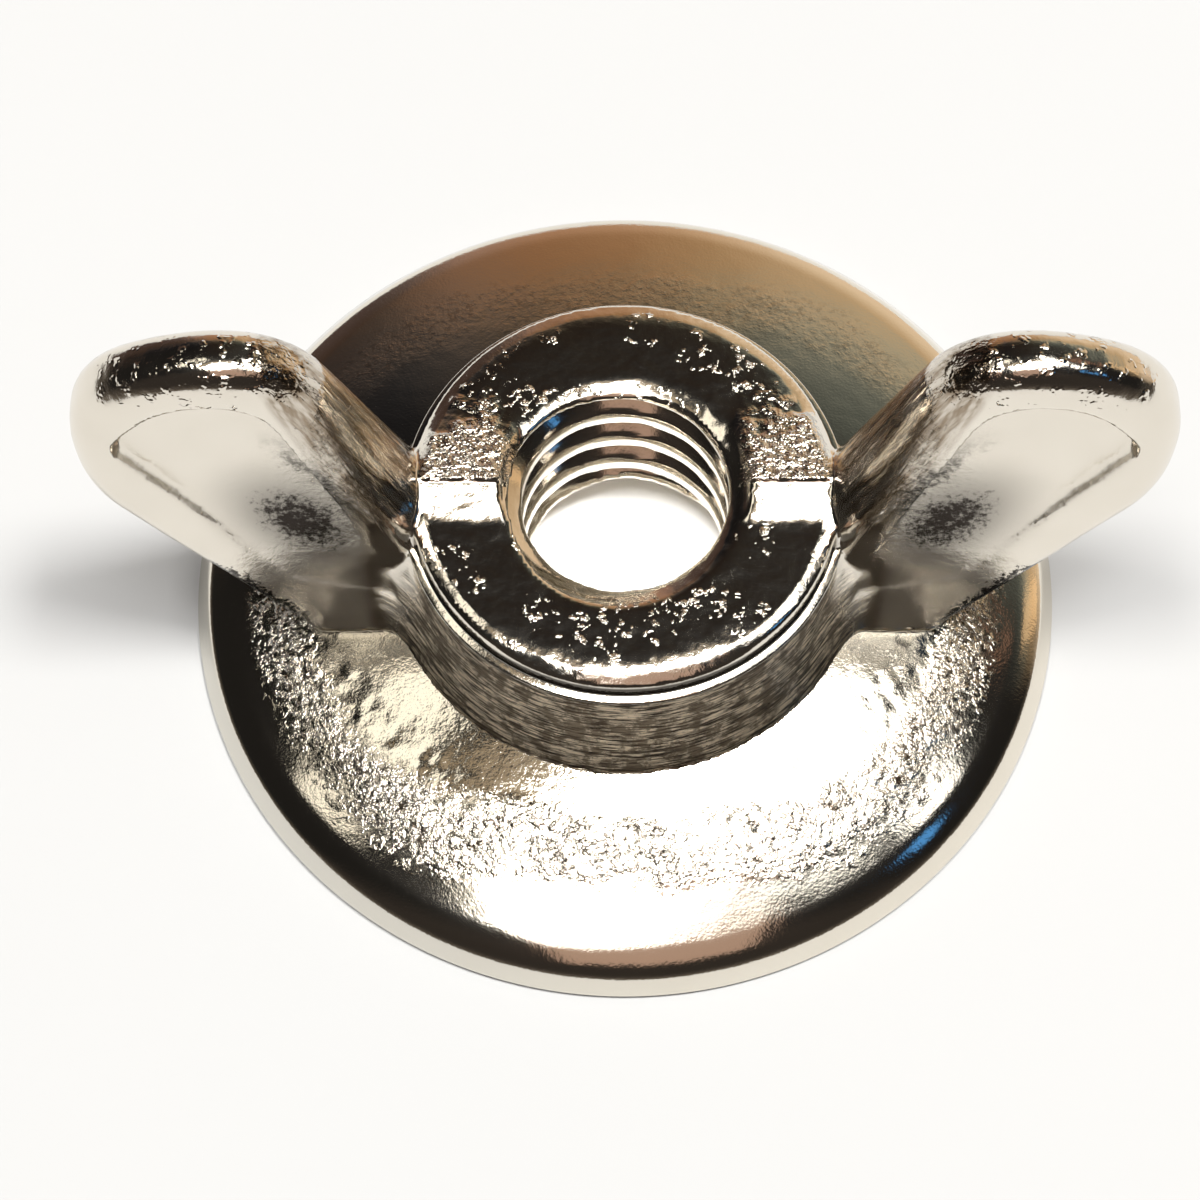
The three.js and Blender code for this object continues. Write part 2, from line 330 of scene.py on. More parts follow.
def body_field(xs, ys, zs):
    """Distance field of the nut body on a regular grid, negative in the metal."""
    x = xs[:, None, None]
    y = ys[None, :, None]
    z = zs[None, None, :]
    radius = np.hypot(xs[:, None], ys[None, :])
    rounded = turned_field(hub_profile(CROWN_FLAT_RADIUS, CROWN_ROUND), radius, zs)
    sharp = turned_field(hub_profile(CROWN_SIDE_FLAT_RADIUS, CROWN_SIDE_ROUND), radius, zs)
    forward = -ys[None, :] / np.maximum(radius, 0.1)
    weight = np.maximum(smoothstep(0.74, 0.93, forward), smoothstep(0.2, 0.5, -forward))
    hub = sharp + (rounded - sharp) * weight[:, :, None]
    wings = wing_field(x, y, z)
    radius = radius[:, :, None]
    hub = hub - rib_lift(x, y, z, radius)
    wings = smooth_max(wings, dome_top(radius) + RUNNING_GAP - z, 0.05)
    wings = np.maximum(wings, SPIGOT_RADIUS - 0.4 - radius)
    blend = 0.16 + 0.75 * smoothstep(5.1, 4.2, z) * smoothstep(1.5, 3.1, z)
    solid = smooth_min(hub, wings, blend)
    solid = np.maximum(solid, under_dome(radius, z))
    angle = np.arctan2(y, x)
    solid = smooth_max(solid, -thread_field(radius, angle, z), 0.06)
    shape, spacing = solid.shape, xs[1] - xs[0]
    rough = 0.008 * value_noise(shape, spacing, 1.3, SEED)
    rough += 0.003 * value_noise(shape, spacing, 0.5, SEED + 1)
    return solid + rough


def under_dome(radius, z):
    """Positive round the spigot, from the lip's seat up to the running surface over the dome."""
    above_seat = z - (LIP_SEAT - RUNNING_GAP)
    below_dome = dome_top(radius) + RUNNING_GAP - z
    return np.minimum(np.minimum(above_seat, below_dome), radius - SPIGOT_RADIUS)


def surface_net(field, xs, ys, zs):
    """Vertices and quads of the field's zero surface, one vertex per cell that it crosses."""
    inside = field < 0
    counts = np.array(field.shape) - 1
    corner_sum = sum(
        inside[i:i + counts[0], j:j + counts[1], k:k + counts[2]].astype(np.int8)
        for i in (0, 1) for j in (0, 1) for k in (0, 1)
    )
    active = (corner_sum > 0) & (corner_sum < 8)
    cells = np.argwhere(active)
    number = np.full(counts, -1, np.int64)
    number[active] = np.arange(len(cells))
    total = np.zeros((len(cells), 3))
    hits = np.zeros(len(cells))
    corners = [(i, j, k) for i in (0, 1) for j in (0, 1) for k in (0, 1)]
    for a in corners:
        for axis in range(3):
            if a[axis]:
                continue
            b = list(a)
            b[axis] = 1
            fa = field[tuple((cells + a).T)]
            fb = field[tuple((cells + b).T)]
            crossed = (fa < 0) != (fb < 0)
            t = np.where(crossed, fa / np.where(crossed, fa - fb, 1), 0)
            point = np.tile(np.array(a, float), (len(cells), 1))
            point[:, axis] = t
            total += point * crossed[:, None]
            hits += crossed
    origin = np.array([xs[0], ys[0], zs[0]])
    step = xs[1] - xs[0]
    vertices = origin + (cells + total / hits[:, None]) * step
    quads = []
    for axis in range(3):
        u, v = (axis + 1) % 3, (axis + 2) % 3
        first = [slice(None)] * 3
        second = [slice(None)] * 3
        first[axis], second[axis] = slice(0, -1), slice(1, None)
        start_in, end_in = inside[tuple(first)], inside[tuple(second)]
        edges = np.argwhere(start_in != end_in)
        keep = (edges[:, u] > 0) & (edges[:, v] > 0)
        keep &= (edges[:, u] < counts[u]) & (edges[:, v] < counts[v])
        edges = edges[keep]
        leaving = start_in[tuple(edges.T)]
        ring = []
        for du, dv in ((1, 1), (0, 1), (0, 0), (1, 0)):
            cell = edges.copy()
            cell[:, u] -= du
            cell[:, v] -= dv
            ring.append(number[tuple(cell.T)])
        ring = np.stack(ring, axis=1)
        ring[leaving] = ring[leaving][:, ::-1]
        quads.append(ring[:, ::-1])
    return vertices, np.concatenate(quads)


def sample(field, vertices, xs, ys, zs):
    """Field value at each point, by trilinear interpolation."""
    step = xs[1] - xs[0]
    place = (vertices - [xs[0], ys[0], zs[0]]) / step
    low = np.clip(np.floor(place).astype(int), 0, np.array(field.shape) - 2)
    t = place - low
    value = 0
    for i in (0, 1):
        for j in (0, 1):
            for k in (0, 1):
                weight = (
                    np.where(i, t[:, 0], 1 - t[:, 0])
                    * np.where(j, t[:, 1], 1 - t[:, 1])
                    * np.where(k, t[:, 2], 1 - t[:, 2])
                )
                value = value + weight * field[low[:, 0] + i, low[:, 1] + j, low[:, 2] + k]
    return value


def settle(vertices, field, xs, ys, zs, rounds=3):
    """Moves the net's vertices onto the zero surface along the field's slope."""
    reach = 0.5 * (xs[1] - xs[0])
    for _ in range(rounds):
        value = sample(field, vertices, xs, ys, zs)
        slope = np.zeros_like(vertices)
        for axis in range(3):
            offset = np.zeros(3)
            offset[axis] = reach
            ahead = sample(field, vertices + offset, xs, ys, zs)
            behind = sample(field, vertices - offset, xs, ys, zs)
            slope[:, axis] = (ahead - behind) / (2 * reach)
        steep = np.maximum((slope ** 2).sum(axis=1), 0.05)
        move = -slope * (value / steep)[:, None]
        length = np.linalg.norm(move, axis=1, keepdims=True)
        vertices = vertices + move * np.minimum(1, 0.3 * reach / np.maximum(length, 1e-9))
    return vertices


def revolve(profile, segments):
    """Vertices and quads of a closed outline turned about Z."""
    profile = np.array(profile)
    angles = np.linspace(0, 2 * math.pi, segments, endpoint=False)
    x = np.cos(angles)[:, None] * profile[:, 0]
    y = np.sin(angles)[:, None] * profile[:, 0]
    height = np.ones(segments)[:, None] * profile[:, 1]
    rows = len(profile)
    i = np.arange(segments)[:, None]
    j = np.arange(rows)[None, :]
    ahead = (i + 1) % segments
    up = (j + 1) % rows
    quads = np.stack([i * rows + j, ahead * rows + j, ahead * rows + up, i * rows + up], axis=2)
    return np.stack([x, y, height], axis=2), quads.reshape(-1, 4)


def mesh_object(name, vertices, faces):
    """Smooth-shaded object from points in millimetres."""
    mesh = bpy.data.meshes.new(name)
    mesh.from_pydata((np.asarray(vertices) * MM).tolist(), [], np.asarray(faces).tolist())
    mesh.validate()
    mesh.polygons.foreach_set("use_smooth", [True] * len(mesh.polygons))
    mesh.update()
    piece = bpy.data.objects.new(name, mesh)
    bpy.context.scene.collection.objects.link(piece)
    return piece


def make_nut_body():
    """The casting from its distance field, with the ring's land united to it."""
    margin = 0.4
    low = np.array(body_box[0]) / MM - margin
    high = np.array(body_box[1]) / MM + margin
    xs, ys, zs = (np.arange(a, b, VOXEL) for a, b in zip(low, high))
    field = body_field(xs, ys, zs)
    vertices, quads = surface_net(field, xs, ys, zs)
    vertices = settle(vertices, field, xs, ys, zs)
    body = mesh_object("nut_body_cast", vertices, quads)
    ring_vertices, ring_quads = revolve(ring_profile(), 512)
    return join_solids(body, mesh_object("hub_ring", ring_vertices.reshape(-1, 3), ring_quads))


def join_solids(solid, addition):
    """Unites two closed meshes and removes the second."""
    joint = solid.modifiers.new("union", "BOOLEAN")
    joint.operation = "UNION"
    joint.solver = "MANIFOLD"
    joint.object = addition
    view = bpy.context.evaluated_depsgraph_get()
    united = bpy.data.meshes.new_from_object(solid.evaluated_get(view))
    solid.modifiers.clear()
    united.materials.clear()
    united.polygons.foreach_set("material_index", [0] * len(united.polygons))
    solid.data = united
    united.polygons.foreach_set("use_smooth", [True] * len(united.polygons))
    bpy.data.objects.remove(addition)
    return solid


# ---------------------------------------------------------------- base washer

def washer_profile():
    """Closed outline of the washer's section, as dense points [radius, height]."""
    hole = SPIGOT_RADIUS + RUNNING_GAP
    shoulder = (RIM_SHOULDER_RADIUS, plate_top(RIM_SHOULDER_RADIUS))
    flank_foot = arc(WASHER_RADIUS - RIM_FOOT_ROUND, RIM_FOOT_ROUND, RIM_FOOT_ROUND, -90, 30, 12)
    before = tuple(p + 0.3 * (q - p) for p, q in zip(shoulder, flank_foot[-1]))
    inward = RIM_SHOULDER_RADIUS - RIM_SHOULDER_ROUND
    after = (inward, plate_top(inward))
    hollow = np.linspace(LIP_SEAT_RADIUS + 0.5, HOLLOW_START_RADIUS, 12)
    return [
        (LIP_SEAT_RADIUS, LIP_SEAT),
        *[(r, dome_top(r) - WASHER_THICKNESS) for r in hollow],
        (LAND_INNER_RADIUS, 0),
        *flank_foot,
        before,
        *quadratic(before, shoulder, after, 10),
        *[(r, plate_top(r)) for r in np.linspace(inward - 0.06, hole, 90)],
        (hole, LIP_SEAT),
    ]


def orange_peel(x, y, radius):
    """Height of the plating's texture on the dome, strongest in a ring part way out."""
    spacing, cell = 0.05, 0.3
    size = int(2 * WASHER_RADIUS / spacing) + 3
    texture = value_noise((size, size, 1), spacing, cell, SEED + 2)[:, :, 0]
    place_x = np.rint((x + WASHER_RADIUS) / spacing).astype(int)
    place_y = np.rint((y + WASHER_RADIUS) / spacing).astype(int)
    ring = smoothstep(6.6, 7.5, radius) * smoothstep(9.4, 8.5, radius)
    fade = smoothstep(RIM_ROLL_START, 9.3, radius)
    worn = 0.12 + 0.88 * smoothstep(4.0, -1.0, y)
    return PEEL_HEIGHT * fade * (0.12 + 0.88 * ring) * worn * texture[place_x, place_y]


def make_washer():
    """The turned washer, with the plating's texture raised on its dome."""
    vertices, quads = revolve(washer_profile(), 640)
    x, y, height = vertices[..., 0], vertices[..., 1], vertices[..., 2]
    radius = np.hypot(x, y)
    on_dome = (height > plate_top(radius) - 0.01) & (radius < RIM_ROLL_START)
    on_dome &= radius > SPIGOT_RADIUS + 0.4
    vertices[..., 2] += np.where(on_dome, orange_peel(x, y, radius), 0)
    return mesh_object("base_washer_domed", vertices.reshape(-1, 3), quads)


# ---------------------------------------------------------------- materials

class Nodes:
    """Short names for building one material's node tree."""

    def __init__(self, name):
        self.material = bpy.data.materials.new(name)
        self.material.use_nodes = True
        self.tree = self.material.node_tree
        self.shader = self.tree.nodes["Principled BSDF"]

    def add(self, kind, settings=None, inputs=None):
        node = self.tree.nodes.new(kind)
        for key, value in (settings or {}).items():
            setattr(node, key, value)
        for key, value in (inputs or {}).items():
            self.put(node.inputs[key], value)
        return node

    def put(self, socket, value):
        if isinstance(value, bpy.types.NodeSocket):
            self.tree.links.new(value, socket)
        else:
            socket.default_value = value

    def math(self, operation, a, b=0.0):
        node = self.add("ShaderNodeMath", {"operation": operation}, {0: a, 1: b})
        return node.outputs[0]

    def band(self, value, low, high, to_low=0.0, to_high=1.0):
        """Smooth ramp of value from to_low at low to to_high at high."""
        node = self.add(
            "ShaderNodeMapRange",
            {"interpolation_type": "SMOOTHSTEP"},
            {"Value": value, "From Min": low, "From Max": high, "To Min": to_low, "To Max": to_high},
        )
        return node.outputs["Result"]

    def across(self, u, v, u0, v0, nu, nv, scale):
        """Signed distance of (u, v) from a line through (u0, v0) with normal (nu, nv), over scale."""
        part_u = self.math("MULTIPLY", self.math("SUBTRACT", u, u0), nu / scale)
        part_v = self.math("MULTIPLY", self.math("SUBTRACT", v, v0), nv / scale)
        return self.math("ADD", part_u, part_v)

    def from_axis(self, x, y):
        """Distance from the Z axis."""
        return self.math("SQRT", self.math("ADD", self.math("MULTIPLY", x, x), self.math("MULTIPLY", y, y)))

    def millimetres(self):
        """Place on the piece, in its own axes."""
        place = self.add("ShaderNodeTexCoord").outputs["Object"]
        scaled = self.add("ShaderNodeVectorMath", {"operation": "SCALE"}, {0: place, "Scale": 1 / MM})
        return scaled.outputs[0]

    def split(self, vector):
        node = self.add("ShaderNodeSeparateXYZ", None, {0: vector})
        return node.outputs[0], node.outputs[1], node.outputs[2]

    def noise(self, vector, scale, detail=2.0, roughness=0.5):
        node = self.add(
            "ShaderNodeTexNoise", None,
            {"Vector": vector, "Scale": scale, "Detail": detail, "Roughness": roughness},
        )
        return node.outputs[0]

    def mix(self, factor, a, b):
        node = self.add("ShaderNodeMix", {"data_type": "RGBA"})
        self.put(node.inputs[0], factor)
        self.put(node.inputs[6], a)
        self.put(node.inputs[7], b)
        return node.outputs[2]

    def bump(self, height, distance, strength=1.0, below=None):
        node = self.add(
            "ShaderNodeBump", None, {"Height": height, "Distance": distance, "Strength": strength},
        )
        if below is not None:
            self.put(node.inputs["Normal"], below)
        return node.outputs[0]


def washer_material():
    """Bright nickel: smooth near the neck and at the rim, with an orange-peel band between; dark specks in
    that band and grey on the rim's left outer side are painted shade.
    """
    n = Nodes("nickel_bright_washer")
    place = n.millimetres()
    x, y, z = n.split(place)
    radius = n.from_axis(x, y)
    aside = n.math("ABSOLUTE", x)
    inset = n.math("SUBTRACT", radius, n.band(aside, 2.0, 6.0, 0.0, 0.85))
    start = n.math("SUBTRACT", radius, n.band(aside, 2.0, 6.5, 0.0, 1.1))
    clumps = n.band(n.noise(place, 0.62, 3.0, 0.6), 0.36, 0.6, 0.45, 1.0)
    peel_band = n.math("MULTIPLY", n.band(start, 6.8, 7.6), n.band(inset, 9.2, 8.4))
    peel_band = n.math("MULTIPLY", peel_band, clumps)
    dome_level = n.math("ADD", z, n.math("MULTIPLY", n.math("MULTIPLY", radius, radius), 0.5 / DOME_RADIUS))
    peel_band = n.math("MULTIPLY", peel_band, n.band(dome_level, DOME_HEIGHT - 0.6, DOME_HEIGHT - 0.3))
    peel = n.noise(place, 5.5, 3.0, 0.6)
    fine = n.noise(place, 14.0, 2.0, 0.5)
    sway = n.noise(place, 0.7, 2.0, 0.5)
    coarse = n.math("MULTIPLY", peel, n.band(peel_band, 0.0, 1.0, 0.1, 1.0))
    coarse = n.math("MULTIPLY", coarse, n.band(y, -1.0, 4.0, 1.0, 0.14))
    coarse = n.math("MULTIPLY", coarse, n.band(radius, 8.9, 9.7, 1.0, 0.12))
    dents = n.math("MULTIPLY", n.band(n.noise(place, 4.6, 3.0, 0.65), 0.5, 0.64), peel_band)
    dents = n.math("MULTIPLY", dents, n.band(y, -1.0, 4.0, 1.0, 0.06))
    dents = n.math("MULTIPLY", dents, n.band(n.noise(place, 0.55, 2.0, 0.5), 0.36, 0.6, 0.35, 1.0))
    normal = n.bump(sway, 1.2e-5)
    normal = n.bump(coarse, 6.0e-5, 1.0, normal)
    normal = n.bump(dents, 3.5e-5, 1.0, normal)
    normal = n.bump(fine, 2.0e-6, 1.0, normal)
    tint = n.mix(sway, (0.84, 0.79, 0.69, 1), (0.78, 0.73, 0.63, 1))
    # Painted shade: dark specks in the orange-peel band, fainter towards the back.
    painted_dark_specks = n.math("MULTIPLY", n.band(n.noise(place, 5.0, 4.0, 0.7), 0.5, 0.62), peel_band)
    painted_dark_specks = n.math("MULTIPLY", painted_dark_specks, n.band(aside, 1.0, 4.5, 0.85, 1.0))
    painted_dark_specks = n.math("MULTIPLY", painted_dark_specks, n.band(y, -1.0, 2.5, 1.0, 0.3))
    tint = n.mix(painted_dark_specks, tint, (0.10, 0.072, 0.05, 1))
    # Painted shade: the rim's outer side turns greyer towards the left.
    flank_painted_shade = n.math("MULTIPLY", n.band(radius, 10.84, 10.92), n.band(x, 4.0, -9.0, 0.0, 0.5))
    tint = n.mix(flank_painted_shade, tint, (0.55, 0.55, 0.52, 1))
    rough = n.math("ADD", n.band(peel_band, 0.0, 1.0, 0.07, 0.16), n.math("MULTIPLY", fine, 0.05))
    n.put(n.shader.inputs["Base Color"], tint)
    n.put(n.shader.inputs["Roughness"], rough)
    n.put(n.shader.inputs["Normal"], normal)
    n.shader.inputs["Metallic"].default_value = 1.0
    return n.material


def body_material():
    """Nickel over a casting: bright wings and hub, a darker brushed neck and pits, with painted shade: dark
    patches on the wings, brown on their inner edges, dark lines under and above the hub's ring.
    """
    n = Nodes("nickel_cast_body")
    place = n.millimetres()
    x, y, z = n.split(place)
    aside = n.math("ABSOLUTE", x)
    radius = n.from_axis(x, y)

    # Where the bore, the neck and the hub's top are.
    bore = n.band(radius, 3.4, 3.1)
    neck = n.math("MULTIPLY", n.band(radius, 6.7, 6.2), n.band(z, 5.34, 5.3))
    neck = n.math("MULTIPLY", neck, n.math("SUBTRACT", 1.0, bore))
    neck = n.math("MULTIPLY", neck, n.band(n.math("ABSOLUTE", y), 1.3, 2.6))
    neck = n.math("MULTIPLY", neck, n.band(z, 1.75, 1.95))
    top = n.math("MULTIPLY", n.band(z, 5.5, 5.7), n.band(radius, 5.2, 4.9))

    # Textures. The brush marks run round the neck.
    around = n.math("ARCTAN2", y, x)
    brush_place = n.add("ShaderNodeCombineXYZ", None, {
        0: n.math("MULTIPLY", around, 5.0),
        1: radius,
        2: n.math("MULTIPLY", z, 9.0),
    })
    brush = n.noise(brush_place.outputs[0], 1.6, 4.0, 0.65)
    peel = n.noise(place, 4.5, 3.0, 0.6)
    fine = n.noise(place, 14.0, 2.0, 0.5)
    sway = n.noise(place, 0.8, 2.0, 0.5)
    patches = n.noise(place, 1.1, 2.0, 0.5)

    # The hub's top: rough behind the rib, clean on it, pitted in clusters elsewhere.
    uneven = n.math("ADD", y, n.band(patches, 0.3, 0.7, -0.7, 0.7))
    behind_rib = n.math("MULTIPLY", n.band(y, 0.02, 0.2), n.band(uneven, 2.5, 1.2))
    behind_rib = n.math("MULTIPLY", behind_rib, n.band(aside, 2.6, 3.3))
    on_rib = n.math("MULTIPLY", n.band(y, -1.2, -0.9), n.band(y, 0.2, 0.0))
    clusters = n.math("MAXIMUM", n.band(n.noise(place, 0.7, 1.0, 0.5), 0.46, 0.62), behind_rib)
    clusters = n.math("MULTIPLY", clusters, n.math("SUBTRACT", 1.0, on_rib))
    pits = n.math("MULTIPLY", n.band(n.noise(place, 3.8, 3.0, 0.6), 0.56, 0.8), clusters)

    # Painted shade on the wings, strongest on their front faces: a dark patch, a dark stroke along the
    # pocket and dark specks at the lower edge.
    face = n.band(aside, 6.0, 6.9)
    speckle = n.noise(place, 5.5, 4.0, 0.75)
    drift = n.noise(place, 1.4, 2.0, 0.5)
    along = n.across(aside, z, 7.85, 6.6, 0.64, 0.77, 1.75)
    over = n.across(aside, z, 7.85, 6.6, 0.77, -0.64, 1.2)
    from_cloud = n.math("SQRT", n.math("ADD", n.math("POWER", along, 2.0), n.math("POWER", over, 2.0)))
    painted_dark_patches = n.math("ADD", n.band(from_cloud, 1.7, 0.1, -0.40, 0.36), speckle)
    painted_dark_patches = n.band(painted_dark_patches, 0.34, 0.86)
    painted_dark_patches = n.math("MAXIMUM", painted_dark_patches, n.band(from_cloud, 1.9, 0.3, 0.0, 0.66))
    stroke = n.across(aside, z, 5.5, 5.6, 0.853, -0.522, 1.0)
    stroke = n.math("ABSOLUTE", n.math("ADD", stroke, n.band(drift, 0.3, 0.7, -0.2, 0.2)))
    stroke = n.math("ADD", n.band(stroke, 0.9, 0.05, -0.35, 0.12), speckle)
    stroke = n.math("MULTIPLY", n.band(stroke, 0.36, 0.8), n.band(z, 10.6, 8.4))
    low_edge = n.across(aside, z, 7.15, 1.0, 0.813, -0.582, 1.0)
    low_edge = n.math("MULTIPLY", n.band(low_edge, -0.9, 0.4), n.band(z, 5.6, 4.4))
    low_edge = n.band(n.math("ADD", speckle, n.band(low_edge, 0.0, 1.0, -0.3, 0.1)), 0.47, 0.56)
    low_edge = n.math("MULTIPLY", low_edge, n.band(aside, 7.6, 8.4))
    painted_dark_patches = n.math("MAXIMUM", painted_dark_patches, n.math("MAXIMUM", stroke, low_edge))
    painted_dark_patches = n.math("MULTIPLY", painted_dark_patches, n.math("MULTIPLY", face, n.band(y, 0.3, -0.3, 0.2, 1.0)))

    # Relief.
    normal = n.bump(n.math("MULTIPLY", brush, neck), 2.2e-5)
    crest = n.math("MULTIPLY", n.band(n.noise(place, 2.8, 2.0, 0.6), 0.54, 0.74), n.band(z, 11.4, 12.0))
    normal = n.bump(crest, 2.6e-5, 1.0, normal)
    inner = n.across(aside, z, 4.2, 1.0, 0.942, -0.335, 1.0)
    flow_place = n.add("ShaderNodeCombineXYZ", None, {
        0: n.math("MULTIPLY", inner, 4.0),
        1: n.math("MULTIPLY", y, 4.0),
        2: n.math("MULTIPLY", z, 0.45),
    })
    flow = n.noise(flow_place.outputs[0], 1.0, 3.0, 0.6)
    flow_mask = n.math("MULTIPLY", n.band(inner, 0.25, -0.1), n.band(z, 6.0, 6.8))
    normal = n.bump(n.math("MULTIPLY", flow, flow_mask), 9.0e-5, 1.0, normal)
    normal = n.bump(n.math("MULTIPLY", pits, top), 5.5e-5, 1.0, normal)
    chips = n.math("MULTIPLY", n.noise(place, 3.6, 3.0, 0.6), n.math("MULTIPLY", behind_rib, top))
    normal = n.bump(chips, 1.6e-4, 1.0, normal)
    normal = n.bump(n.math("MULTIPLY", patches, top), 5.0e-5, 1.0, normal)
    normal = n.bump(n.math("MULTIPLY", peel, n.band(bore, 0.0, 1.0, 1.0, 0.2)), 7.0e-6, 1.0, normal)
    normal = n.bump(fine, 1.6e-6, 1.0, normal)

    # Colour.
    bright = n.mix(sway, (0.84, 0.79, 0.70, 1), (0.77, 0.72, 0.63, 1))
    neck_tone_and_shade = n.mix(n.band(brush, 0.4, 0.6), (0.05, 0.04, 0.03, 1), (0.90, 0.77, 0.59, 1))
    mottle = n.band(n.noise(place, 1.9, 4.0, 0.7), 0.46, 0.58)
    neck_tone_and_shade = n.mix(n.math("MULTIPLY", mottle, 0.8), neck_tone_and_shade, (0.13, 0.10, 0.07, 1))
    # Painted shade: the neck darkens just under the ring.
    neck_tone_and_shade = n.mix(n.band(z, 4.95, 5.25, 0.0, 0.75), neck_tone_and_shade, (0.05, 0.04, 0.03, 1))
    # Painted shade: a dark line round the crown's edge just above the ring, at the front and back.
    groove = n.math("MULTIPLY", n.band(radius, 5.18, 5.26), n.band(z, 5.4, 5.45))
    groove = n.math("MULTIPLY", groove, n.math("SUBTRACT", 1.0, n.band(z, 5.68, 5.76)))
    groove = n.math("MULTIPLY", groove, n.band(aside, 5.3, 5.1))
    bright = n.mix(n.math("MULTIPLY", groove, 0.92), bright, (0.04, 0.034, 0.028, 1))
    bright = n.mix(n.math("MULTIPLY", bore, 0.35), bright, (0.72, 0.66, 0.56, 1))
    # Painted shade: brown streaky darkening along the wings' inner edges, above the hub.
    inner_edge_painted_shade = n.math("MULTIPLY", n.band(flow, 0.4, 0.62, 0.25, 1.0), flow_mask)
    bright = n.mix(n.math("MULTIPLY", inner_edge_painted_shade, 0.85), bright, (0.24, 0.17, 0.105, 1))
    tint = n.mix(neck, bright, neck_tone_and_shade)
    # Painted shade: the wings' dark patches.
    tint = n.mix(painted_dark_patches, tint, (0.028, 0.022, 0.018, 1))

    # Roughness.
    satin = n.band(n.math("MULTIPLY", face, n.band(z, 11.6, 10.6)), 0.0, 1.0, 0.07, 0.19)
    rough = n.math("MAXIMUM", satin, n.band(neck, 0.0, 1.0, 0.09, 0.26))
    worn = n.math("MULTIPLY", n.math("MULTIPLY", behind_rib, top), n.band(patches, 0.35, 0.55))
    rough = n.math("MAXIMUM", rough, n.math("MULTIPLY", worn, 0.17))
    rough = n.math("ADD", rough, n.math("MULTIPLY", fine, 0.05))
    n.put(n.shader.inputs["Base Color"], tint)
    n.put(n.shader.inputs["Roughness"], rough)
    n.put(n.shader.inputs["Normal"], normal)
    n.shader.inputs["Metallic"].default_value = 1.0
    return n.material


def table_material():
    """White table, with painted light under the nut, where only the bore shows it: there its colour is
    nearly three times the open table's.
    """
    n = Nodes("white_table")
    place = n.millimetres()
    grain = n.noise(place, 0.05, 3.0, 0.5)
    open_table = n.mix(grain, (0.321, 0.321, 0.322, 1), (0.327, 0.327, 0.328, 1))
    x, y, _ = n.split(place)
    radius = n.from_axis(x, y)
    # Painted light: the table under the nut, seen only through the bore, is made much lighter.
    painted_light_under_nut = n.band(radius, 9.0, 7.0)
    n.put(n.shader.inputs["Base Color"], n.mix(painted_light_under_nut, open_table, (0.94, 0.94, 0.94, 1)))
    n.shader.inputs["Roughness"].default_value = 0.85
    n.shader.inputs["Specular IOR Level"].default_value = 0.1
    return n.material


# ---------------------------------------------------------------- table, light and camera

def make_table():
    """Pale floor just below the washer's bearing face."""
    half, level = 1.5, -0.02 * MM
    corners = [(-half, -half, level), (half, -half, level), (half, half, level), (-half, half, level)]
    mesh = bpy.data.meshes.new("table")
    mesh.from_pydata(corners, [], [(0, 1, 2, 3)])
    table = bpy.data.objects.new("table", mesh)
    bpy.context.scene.collection.objects.link(table)
    mesh.materials.append(table_material())


def add_softbox(name, direction, distance, size, power, colour, shape="RECTANGLE", turn=0.0, seen=True):
    """Flat lamp in a direction from the nut, facing it, turned in its own plane by turn degrees.

    A lamp that isn't seen gives light but no reflection.
    """
    light = bpy.data.lights.new(name, "AREA")
    light.shape = shape
    light.size, light.size_y = size
    light.energy = power
    light.color = colour
    lamp = bpy.data.objects.new(name, light)
    away = np.array(direction, float)
    away /= np.linalg.norm(away)
    lamp.location = away * distance
    facing = Vector(away).to_track_quat("Z", "Y")
    lamp.rotation_euler = (facing @ Quaternion((0, 0, 1), math.radians(turn))).to_euler()
    lamp.visible_glossy = seen
    bpy.context.scene.collection.objects.link(lamp)


def make_lights():
    """Softboxes, and two lamps that light the table without showing in reflections."""
    white, cool = (1.0, 0.99, 0.96), (0.985, 0.995, 1.0)
    add_softbox("core", (0.055, -0.09, 0.994), 1.0, (0.70, 0.25), 8.4, cool, "ELLIPSE")
    add_softbox("panel", (0.08, -0.15, 0.985), 1.0, (0.76, 0.34), 1.31, white)
    add_softbox("halo", (0.03, -0.06, 0.998), 1.05, (0.80, 0.46), 0.36, (1.0, 0.74, 0.44))
    add_softbox("side_right", (0.41, 0.145, 0.90), 1.0, (0.50, 0.16), 0.68, white, turn=24.0)
    add_softbox("side_left", (-0.40, 0.125, 0.905), 1.0, (0.44, 0.15), 0.31, (1.0, 0.94, 0.82), turn=-25.0)
    add_softbox("front_brown", (0.06, -0.46, 0.885), 1.0, (0.50, 0.42), 0.30, (1.0, 0.66, 0.50))
    add_softbox("rust_right", (0.56, 0.32, 0.76), 1.0, (0.16, 0.14), 0.017, (1.0, 0.50, 0.30))
    add_softbox("amber_right", (0.82, 0.34, 0.44), 1.0, (0.12, 0.30), 0.055, (1.0, 0.62, 0.30))
    add_softbox("sky_right", (0.655, -0.205, 0.725), 1.0, (0.09, 0.15), 0.036, (0.10, 0.42, 1.0))
    add_softbox("window_right", (0.30, 0.0, 0.95), 1.0, (0.25, 0.20), 12.0, white, seen=False)
    add_softbox("window_left", (-0.22, 0.0, 0.975), 1.0, (0.25, 0.20), 8.0, white, seen=False)


def world_ramp(tree, source, stops):
    """Colour ramp of source, with stops of position and colour."""
    ramp = tree.nodes.new("ShaderNodeValToRGB")
    tree.links.new(source, ramp.inputs[0])
    elements = ramp.color_ramp.elements
    while len(elements) < len(stops):
        elements.new(0.5)
    for element, (position, colour) in zip(elements, stops):
        element.position = position
        element.color = (*colour, 1)
    return ramp.outputs[0]


def world_math(tree, operation, value, factor, offset):
    """One arithmetic node on value with two constants."""
    node = tree.nodes.new("ShaderNodeMath")
    node.operation = operation
    node.inputs[1].default_value = factor
    node.inputs[2].default_value = offset
    tree.links.new(value, node.inputs[0])
    return node.outputs[0]


